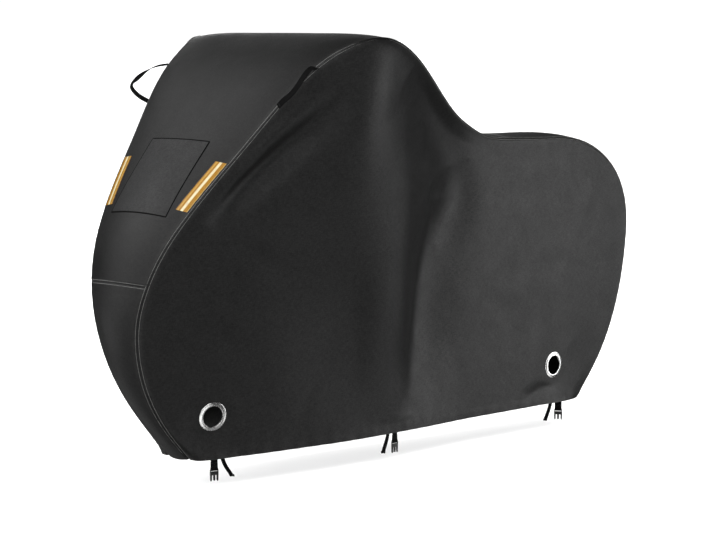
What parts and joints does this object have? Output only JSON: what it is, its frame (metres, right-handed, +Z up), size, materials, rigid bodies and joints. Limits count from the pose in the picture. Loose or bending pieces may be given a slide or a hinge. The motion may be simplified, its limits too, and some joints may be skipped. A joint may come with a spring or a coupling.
{
  "type": "bicycle cover",
  "caption": "Hollow fitted cloth cover shaped over a bicycle, with side panels, a full-length gusset, metal-ringed eyelets, webbing handle loops and hem straps with buckles.",
  "frame": {"origin": "under the cloth at the highest point of the crown, in the middle plane, where the cover rests on what holds it up", "axes": "+X from the nose to the tail, +Y from the left panel to the right panel, +Z up"},
  "size_m": [1.9969, 0.7472, 1.185],
  "materials": {
    "cloth": "near-black coated Oxford weave with a soft sheen",
    "patch_cloth": "near-black woven patch, bare, with a stitched border",
    "reflective": "orange reflective tape with a pale middle band",
    "webbing": "black ribbed polyester webbing",
    "ring_metal": "bright plated metal",
    "buckle_plastic": "black moulded plastic"
  },
  "bodies": {
    "root": {"side_panel_left": "cloth", "side_panel_right": "cloth", "gusset_front_lower": "cloth", "gusset_top": "cloth", "gusset_rear": "cloth", "badge_patch": "patch_cloth", "reflective_strip_left": "reflective", "reflective_strip_right": "reflective", "handle_loop_left": "webbing", "handle_loop_right": "webbing", "eyelet_front_left": "ring_metal", "eyelet_rear_left": "ring_metal", "eyelet_front_right": "ring_metal", "eyelet_rear_right": "ring_metal", "strap_front": "webbing", "buckle_front": "buckle_plastic", "tail_front": "webbing", "strap_middle": "webbing", "buckle_middle": "buckle_plastic", "tail_middle": "webbing", "strap_rear": "webbing", "buckle_rear": "buckle_plastic", "tail_rear": "webbing"}
  },
  "joints": []
}
